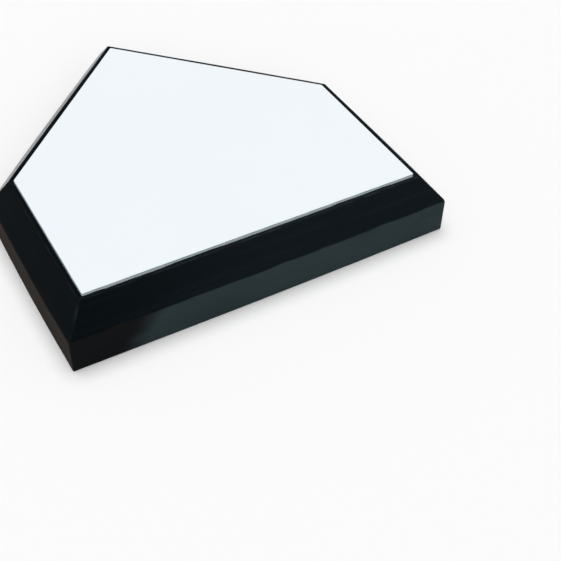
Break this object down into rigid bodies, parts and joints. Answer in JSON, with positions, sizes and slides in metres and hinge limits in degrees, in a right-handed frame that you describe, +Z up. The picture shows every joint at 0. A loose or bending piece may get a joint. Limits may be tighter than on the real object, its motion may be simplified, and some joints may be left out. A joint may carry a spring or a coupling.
{
  "type": "home plate",
  "caption": "Wood-filled home plate: white rubber pentagon bonded into a bevelled black rubber shell, with edge-glued softwood planks filling the underside flush.",
  "frame": {"origin": "centre of the plate's bounding box, on its underside", "axes": "+Z up through the white playing face, +Y towards the apex, +X to the right seen from the front edge"},
  "size_m": [0.4946, 0.5066, 0.0784],
  "materials": {
    "white_rubber": "smooth white moulded rubber, satin",
    "black_rubber": "black moulded rubber, satin",
    "softwood": "varnished orange softwood, edge-glued",
    "softwood_dark": "varnished red-brown heartwood, edge-glued",
    "softwood_olive": "varnished golden softwood with olive streaks, edge-glued"
  },
  "bodies": {
    "root": {"playing_slab": "white_rubber", "rubber_shell": "black_rubber", "core_plank_01": "softwood", "core_plank_02": "softwood", "core_plank_03": "softwood", "core_plank_04": "softwood_dark", "core_plank_05": "softwood", "core_plank_06": "softwood", "core_plank_07": "softwood_olive", "core_plank_08": "softwood", "core_plank_09": "softwood", "closing_strip": "softwood"}
  },
  "joints": []
}
